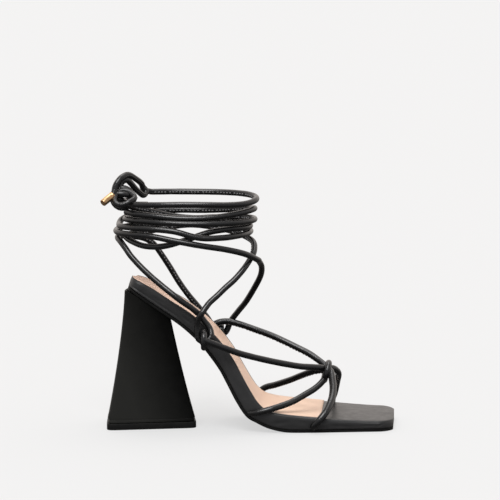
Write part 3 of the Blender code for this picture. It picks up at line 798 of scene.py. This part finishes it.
def towards_foot(point):
    """Side of a strap's seam: down, and a little to the middle of the foot."""
    return Vector((0.0, -math.copysign(STRAP_SEAM_LEAN, point.y), -1.0)).normalized()


def ring_points(centre, across, up, count):
    """Points of an ellipse from its two half axes."""
    points = []
    for i in range(count):
        turn = 2 * math.pi * i / count
        points.append(Vector(centre) + Vector(across) * math.cos(turn) + Vector(up) * math.sin(turn))
    return points


def make_tie():
    route = turn_points(TURNS_C)[::-1] + [Vector(p) for p in RUN_C[::-1] + RUN_AB + RUN_D]
    route += turn_points(TURNS_D)
    points = even_points(route, CORD_STEP)
    work = bmesh.new()
    add_cord(work, points, towards_ankle)
    add_piece("ankle_tie_cord", close_mesh("ankle_tie_cord", work), CORD, "cord_black", "ankle_tie")
    work = bmesh.new()
    add_stitches(work, points, towards_ankle)
    add_piece("ankle_tie_stitches", close_mesh("ankle_tie_stitches", work), THREAD, "cord_black")


def make_straps():
    cords = [(even_points(strap, CORD_STEP), False) for strap in STRAPS.values()]
    cords += [(even_points(loop, CORD_STEP, True), True) for loop in ARCH_LOOPS.values()]
    lean, half_width, half_height = KNOT_RING
    ring = ring_points(KNOT_CENTRE, (0, half_width, 0), (lean, 0, half_height), KNOT_RING_POINTS)
    cords.append((even_points(ring, CORD_STEP, True), True))
    work = bmesh.new()
    for i, (points, closed) in enumerate(cords):
        add_cord(work, points, towards_foot, closed, STRAP_RADIUS if i else FRONT_STRAP_RADIUS)
    add_piece("strap_upper", close_mesh("strap_upper", work), CORD, "cord_black", "upper_straps")
    work = bmesh.new()
    for points, _ in cords[:len(STRAPS)]:
        add_stitches(work, points, towards_foot, STRAP_RADIUS)
    add_piece("strap_stitches", close_mesh("strap_stitches", work), THREAD, "cord_black")


def make_aglet(name, ends, scale, node):
    """Turned metal sleeve with a collar at the cord and a flat end."""
    start, end = (Vector(p) for p in ends)
    axis = end - start
    side = axis.orthogonal().normalized()
    other = axis.normalized().cross(side)
    rings = []
    for share, radius in AGLET_PROFILE:
        ring = []
        for i in range(AGLET_SIDES):
            turn = 2 * math.pi * i / AGLET_SIDES
            out = side * math.cos(turn) + other * math.sin(turn)
            ring.append(start + axis * share + out * max(radius * scale, AGLET_LEAST_RADIUS))
        rings.append(ring)
    work = bmesh.new()
    add_rings(work, rings)
    return add_piece(name, close_mesh(name, work, METAL_SHARP), GOLD, "gold", node)


def make_free_cord(name, route, node):
    """One free stretch of the tie, as a cord whose end meets one of the metal sleeves."""
    points = even_points(route, CORD_STEP)
    work = bmesh.new()
    add_cord(work, points, towards_ankle)
    piece = add_piece(name, close_mesh(name, work), CORD, "cord_black", node)


def make_tie_knot():
    ring = ring_points(TIE_KNOT_CENTRE, (TIE_KNOT_RADIUS, 0, 0), (0, 0, TIE_KNOT_RADIUS), TIE_KNOT_POINTS)
    work = bmesh.new()
    add_cord(work, even_points(ring, CORD_STEP, True), towards_ankle, True)
    add_cord(work, even_points(KNOT_LOWER_LOOP, CORD_STEP, True), towards_ankle, True)
    add_cord(work, even_points(KNOT_STRAND, CORD_STEP), towards_ankle)
    add_cord(work, even_points(KNOT_CORE, CORD_STEP), towards_ankle)
    knot = add_piece("tie_knot_cord", close_mesh("tie_knot_cord", work), CORD, "cord_black", "tie_knot")
    outer = make_aglet("aglet_outer_metal", AGLET_OUTER, AGLET_OUTER_SCALE, "aglet_outer")
    inner = make_aglet("aglet_inner_metal", AGLET_INNER, AGLET_INNER_SCALE, "aglet_inner")
    make_free_cord("tie_loop_cord", TIE_LOOP, "tie_loop")
    make_free_cord("tie_end_cord", TIE_END, "tie_end")


# Sole


def sole_line():
    """Fine samples of the sole: distance along the upper line, top, low and the two half widths."""
    tops = [(row[0], 0.0, row[1]) for row in SOLE_ROWS]
    lows = [(row[2], 0.0, row[3]) for row in SOLE_ROWS]
    halves = [(row[4], row[5], 0.0) for row in SOLE_ROWS]
    samples = []
    travelled = 0.0
    for i in range((len(SOLE_ROWS) - 1) * SOLE_ROW_STEPS + 1):
        place = i / SOLE_ROW_STEPS
        top = spline_point(tops, place)
        low = spline_point(lows, place)
        half = spline_point(halves, place)
        low.z = max(low.z, 0.0)
        if samples:
            travelled += (top - samples[-1][1]).length
        samples.append((travelled, top, low, half.x, half.y))
    return samples


SOLE_LINE = sole_line()
SOLE_LENGTH = SOLE_LINE[-1][0]


def sole_at(distance):
    """Top, low, outer and inner half width of the sole at a distance along its upper line."""
    low_index, high_index = 0, len(SOLE_LINE) - 1
    while high_index - low_index > 1:
        middle = (low_index + high_index) // 2
        if SOLE_LINE[middle][0] <= distance:
            low_index = middle
        else:
            high_index = middle
    a, b = SOLE_LINE[low_index], SOLE_LINE[high_index]
    share = (distance - a[0]) / (b[0] - a[0])
    top = a[1].lerp(b[1], share)
    low = a[2].lerp(b[2], share)
    return top, low, a[3] + (b[3] - a[3]) * share, a[4] + (b[4] - a[4]) * share


def seat_factor(distance):
    """Share of the full width at a distance from the back of the round seat."""
    share = min(1.0, SEAT_FLAT_SHARE + distance / SEAT_ROUND_LENGTH)
    return (1 - (1 - share) ** SEAT_ROUND_POWER) ** (1 / SEAT_ROUND_POWER)


def toe_inset(distance, corner):
    """How far a round corner of the toe draws in at a distance from the tip."""
    length, depth = corner
    rest = max(0.0, length - distance - TOE_TIP_FLAT) / length
    return depth * (1 - math.sqrt(1 - rest * rest))


def slanted(point, y):
    """Point moved out to y, with the toe and the back of the seat slanted to the inner side."""
    reach = (point.x - TOE_SLANT_START_X) / (TOE_SLANT_END_X - TOE_SLANT_START_X)
    toe = TOE_SLANT * y * smooth_step(reach)
    fade = smooth_step((SEAT_SLANT_END_X - point.x) / SEAT_SLANT_LENGTH)
    seat = SEAT_SLANT * (y + SEAT_SLANT_SIDE) * fade
    return Vector((point.x + toe + seat, y, point.z - SEAT_SLOPE * seat))


def sole_edges(distance, inset):
    """Top, low and the Y of the outer and the inner edge at a distance along the sole."""
    top, low, outer, inner = sole_at(distance)
    share = seat_factor(distance)
    rest = SOLE_ROWS[-1][0] - top.x
    outer = outer * share - toe_inset(rest, TOE_OUTER_CORNER) - inset
    inner = inner * share - toe_inset(rest, TOE_INNER_CORNER) - inset
    return top, low, -max(SOLE_LEAST_HALF, outer), max(SOLE_LEAST_HALF, inner)


def sole_distances(end):
    """Distances along the sole, closer together at the round seat and the round toe corners."""
    quarter = math.pi / 2
    seat = [SEAT_ROUND_LENGTH * (1 - math.cos(quarter * i / SEAT_STEPS)) for i in range(SEAT_STEPS)]
    span = end - SEAT_ROUND_LENGTH - TOE_FINE_LENGTH
    count = round(span / SOLE_STEP)
    middle = [SEAT_ROUND_LENGTH + span * i / count for i in range(count)]
    toe = [end - TOE_FINE_LENGTH * (1 - math.sin(quarter * i / TOE_STEPS)) for i in range(TOE_STEPS + 1)]
    return seat + middle + toe


def crease_depth(side, distance, height):
    """Depth of the listed creases at a place on one side of the wrap."""
    depth = 0.0
    for crease_side, middle, level, half_length, lean, half_width, deep in CREASES:
        if crease_side != side:
            continue
        reach = (distance - middle) / half_length
        if abs(reach) > 1:
            continue
        line = level + lean * (distance - middle)
        off = (height - line) * CREASE_SIDE_HEIGHT / half_width
        fade = (1 - reach * reach) ** 2
        ridge = CREASE_RIDGE * math.exp(-(abs(off) - CREASE_RIDGE_PLACE) ** 2)
        depth += deep * fade * (math.exp(-off * off) - ridge)
    return depth


def soft_line(height, line):
    """Share of a soft line's depth at a height share, from the line's middle and half width."""
    middle, half_width = line
    return math.exp(-((height - middle) / half_width) ** 2)


def wrap_side(side, distance, top, bottom, edge):
    """Points of one side of the wrapped midsole from its bottom edge to its rounded top edge."""
    rim = RIM_HEIGHT * smooth_step((RIM_END_X - top.x) / RIM_FADE)
    top = top + (top - bottom).normalized() * rim
    tall = (top - bottom).length
    lip = SEAT_LIP * smooth_step((SEAT_LIP_END_X - top.x) / SEAT_LIP_FADE)
    round_share = min(TOP_EDGE_MOST, TOP_EDGE_ROUND / tall)
    points = []
    for level in SIDE_LEVELS:
        height = level * (1 - round_share) / SIDE_LEVEL_END
        out = SIDE_BULGE * 4 * height * (1 - height)
        out -= LOW_EDGE_DRAW * (1 - smooth_step(height / LOW_EDGE_SHARE))
        out += lip * soft_line(height, SEAT_LIP_LINE)
        out -= SEAT_GROOVE * lip * soft_line(height, SEAT_GROOVE_LINE)
        out -= crease_depth(side, distance, height)
        points.append(slanted(bottom.lerp(top, height), edge + side * out))
    radius = round_share * tall
    for i in range(TOP_EDGE_STEPS + 1):
        turn = math.pi / 2 * i / TOP_EDGE_STEPS
        height = 1 - round_share + round_share * math.sin(turn)
        out = SIDE_BULGE * TOP_EDGE_BULGE - radius * (1 - math.cos(turn))
        points.append(slanted(bottom.lerp(top, height), edge + side * out))
    return points


def top_lift(top, share):
    """Height of the sole's top over its straight section: dished along the foot, crowned at the toe."""
    toe = smooth_step((top.x - TOE_CROWN_START_X) / TOE_CROWN_FADE)
    return (toe * TOE_CROWN - (1 - toe) * SEAT_DISH) * (1 - share * share)


def make_midsole():
    rings = []
    for distance in sole_distances(SOLE_LENGTH):
        top, low, outer, inner = sole_edges(distance, 0.0)
        up = (top - low).normalized()
        bottom = low + up * (OUTSOLE_THICKNESS + LAYER_GAP)
        ring = wrap_side(-1, distance, top, bottom, outer)
        roof_outer = outer + TOP_EDGE_ROUND
        roof_inner = inner - TOP_EDGE_ROUND
        for share in ROOF_SHARES:
            ring.append(slanted(top + up * top_lift(top, share), roof_outer * share))
        for share in reversed(ROOF_SHARES):
            ring.append(slanted(top + up * top_lift(top, share), roof_inner * share))
        ring += reversed(wrap_side(1, distance, top, bottom, inner))
        for share in UNDER_SHARES:
            ring.append(slanted(bottom, inner * share))
        for share in reversed(UNDER_SHARES):
            ring.append(slanted(bottom, outer * share))
        rings.append(ring)
    work = bmesh.new()
    add_rings(work, rings)
    mesh = close_mesh("midsole_wrap", work, SOLE_SHARP)
    add_piece("midsole_wrap", mesh, LEATHER, "leather_black", "midsole")


def make_outsole():
    rings = []
    for distance in sole_distances(SOLE_LENGTH):
        top, low, outer, inner = sole_edges(distance, OUTSOLE_INSET)
        up = (top - low).normalized()
        roof = low + up * OUTSOLE_THICKNESS
        ring = []
        for edge, side in ((outer, -1), (inner, 1)):
            part = [slanted(low.lerp(roof, share), edge + side * out) for share, out in OUTSOLE_PROFILE]
            ring += part if side < 0 else reversed(part)
        rings.append(ring)
    work = bmesh.new()
    add_rings(work, rings)
    add_piece("outsole_sheet", close_mesh("outsole_sheet", work), RUBBER, "rubber_black", "outsole")


@lru_cache
def sock_front(y):
    """Distance along the sole of the sock's slanted front edge at a Y."""
    goal = SOCK_FRONT_X + SOCK_FRONT_SLANT * y
    for travelled, top, *_ in SOLE_LINE:
        if slanted(top, y).x >= goal:
            return travelled
    return SOLE_LENGTH


def sock_point(distance, share, inset, lift):
    """Point of the sock: share runs from -1 at the outer edge to 1 at the inner edge."""
    middle_front = sock_front(0.0)
    front = sock_front(share * SOCK_FRONT_HALF)
    start = middle_front - SOCK_FRONT_BLEND
    if distance > start:
        distance = start + (distance - start) * (front - start) / (middle_front - start)
    top, low, outer, inner = sole_edges(distance, inset)
    up = (top - low).normalized()
    edge = outer if share < 0 else inner
    return slanted(top + up * (top_lift(top, share) + lift), edge * abs(share))


def make_sock():
    rings = []
    across = [-share for share in SOCK_SHARES] + list(reversed(SOCK_SHARES))
    flare = SOCK_EDGE_INSET - SOCK_EDGE_FLARE
    end = sock_front(0.0)
    distances = [d for d in sole_distances(SOLE_LENGTH) if d < end - SOLE_STEP / 2]
    for distance in distances + [end - SOCK_FRONT_ROUND, end]:
        roof = LAYER_GAP + SOCK_THICKNESS - (SOCK_EDGE_ROUND if distance == end else 0.0)
        ring = [sock_point(distance, -1.0, flare, LAYER_GAP)]
        for share in across:
            lift = roof - (SOCK_EDGE_ROUND if abs(share) == 1.0 else 0.0)
            ring.append(sock_point(distance, share, SOCK_EDGE_INSET, lift))
        ring.append(sock_point(distance, 1.0, flare, LAYER_GAP))
        for share in SOCK_UNDER_SHARES:
            ring.append(sock_point(distance, share, SOCK_EDGE_INSET, LAYER_GAP))
        rings.append(ring)
    work = bmesh.new()
    add_rings(work, rings)
    mesh = close_mesh("sock_lining", work, SOLE_SHARP)
    sock = add_piece("sock_lining", mesh, SOCK, "sock_tan", "insole_sock")
    sock.visible_glossy = False


# Heel


def heel_ring(share, height_share, inset=0.0, flat_z=None):
    """Ring of the heel between its base (share 0) and its top (share 1)."""
    back, breast, back_half, breast_half, back_square, breast_square, side = (
        low + (high - low) * share for low, high in zip(HEEL_BASE, HEEL_TOP))
    back = HEEL_TOP[0] - (HEEL_TOP[0] - HEEL_BASE[0]) * (1 - share) ** HEEL_FLARE
    middle = (back + breast) / 2
    half_length = (breast - back) / 2 - inset
    (x0, z0), (x1, z1) = SEAT_LINE
    ring = []
    for i in range(HEEL_RING_POINTS):
        turn = 2 * math.pi * (i + 0.5) / HEEL_RING_POINTS
        square = breast_square if math.cos(turn) > 0 else back_square
        along = math.copysign(abs(math.cos(turn)) ** (2 / square), math.cos(turn))
        across = math.copysign(abs(math.sin(turn)) ** (2 / square), math.sin(turn))
        half = back_half + (breast_half - back_half) * (along + 1) / 2 - inset
        x = middle + half_length * along
        y = side + half * across + HEEL_TURN * x
        x += SEAT_SLANT * (y + SEAT_SLANT_SIDE) * share * (1 - along) / 2
        x -= HEEL_TURN * (y + HEEL_TURN_SIDE) * (1 + along) / 2
        seat = min(HEEL_BACK_TOP_Z, z0 + (z1 - z0) * (x - x0) / (x1 - x0) - SEAT_GAP)
        base = HEEL_TIP_HEIGHT + HEEL_TIP_JOINT
        z = flat_z if flat_z is not None else base + (seat - base) * height_share
        ring.append(Vector((x, y, z)))
    return ring


def make_heel():
    top_z = SOLE_ROWS[0][3]
    base = HEEL_TIP_HEIGHT + HEEL_TIP_JOINT
    rings = []
    for i in range(HEEL_EDGE_STEPS + 1):
        turn = math.pi / 2 * i / HEEL_EDGE_STEPS
        rise = HEEL_EDGE * (1 - math.cos(turn))
        rings.append(heel_ring((base + rise) / top_z, rise / top_z, HEEL_EDGE * (1 - math.sin(turn))))
    for z, inset in HEEL_FOLD:
        rings.append(heel_ring(z / top_z, 0.0, inset, z))
    for level in range(1, HEEL_LEVELS + 1):
        share = level / HEEL_LEVELS
        rings.append(heel_ring(share, share))
    work = bmesh.new()
    add_rings(work, rings)
    mesh = close_mesh("heel_wrap", work, HEEL_SHARP)
    add_piece("heel_wrap", mesh, HEEL_LEATHER, "leather_black", "heel_block")


def make_heel_tip():
    work = bmesh.new()
    add_rings(work, [heel_ring(0.0, 0.0, inset, z) for z, inset in HEEL_TIP_PROFILE])
    mesh = close_mesh("heel_tip_rubber", work, HEEL_SHARP)
    add_piece("heel_tip_rubber", mesh, RUBBER, "rubber_black", "heel_tip")


# Studio


def make_camera():
    data = bpy.data.cameras.new("camera")
    data.lens = CAMERA_LENS
    data.sensor_width = CAMERA_SENSOR
    data.clip_start, data.clip_end = CAMERA_CLIP
    camera = bpy.data.objects.new("camera", data)
    bpy.context.scene.collection.objects.link(camera)
    elevation = math.radians(CAMERA_ELEVATION)
    back = Vector((0.0, -math.cos(elevation), math.sin(elevation)))
    camera.location = (Vector(CAMERA_TARGET) + back * CAMERA_DISTANCE) * MM
    camera.rotation_euler = (-back).to_track_quat("-Z", "Y").to_euler()
    bpy.context.scene.camera = camera


def add_sun(name, towards, spread, strength):
    data = bpy.data.lights.new(name, "SUN")
    data.angle = math.radians(spread)
    data.energy = strength
    light = bpy.data.objects.new(name, data)
    bpy.context.scene.collection.objects.link(light)
    light.rotation_euler = Vector(towards).to_track_quat("Z", "Y").to_euler()


def make_floor():
    work = bmesh.new()
    bmesh.ops.create_circle(work, cap_ends=True, radius=FLOOR_RADIUS, segments=FLOOR_SIDES)
    mesh = bpy.data.meshes.new("floor")
    work.to_mesh(mesh)
    work.free()
    floor = bpy.data.objects.new("floor", mesh)
    bpy.context.scene.collection.objects.link(floor)
    paint = new_material("floor_paint", FLOOR_COLOUR, 0.9, specular=0.0)
    shader = paint.node_tree.nodes["Principled BSDF"]
    shader.inputs["Emission Color"].default_value = (1.0, 1.0, 1.0, 1.0)
    shader.inputs["Emission Strength"].default_value = FLOOR_GLOW
    mesh.materials.append(paint)
    floor.visible_glossy = False


def make_world():
    """World light, darker at the front of the shoe and under the horizon."""
    world = bpy.data.worlds.new("studio")
    world.use_nodes = True
    n = Nodes(world, "Background")
    way = n.split(n.place("Generated"))
    n.set("Color", n.blend(n.ramp(way["Y"], WORLD_TURN), WORLD_FRONT, WORLD_BACK))
    n.set("Strength", n.ramp(way["Z"], WORLD_LOWER_RISE, (WORLD_LOWER, 1.0)))
    bpy.context.scene.world = world


def make_studio():
    make_floor()
    add_sun("front", FRONT_TOWARDS, FRONT_SPREAD, FRONT_STRENGTH)
    add_sun("sky", SKY_TOWARDS, SKY_SPREAD, SKY_STRENGTH)
    make_world()
    bpy.context.scene.view_settings.view_transform = "Standard"


make_camera()
make_tie()
make_straps()
make_tie_knot()
make_midsole()
make_outsole()
make_sock()
make_heel()
make_heel_tip()
make_studio()
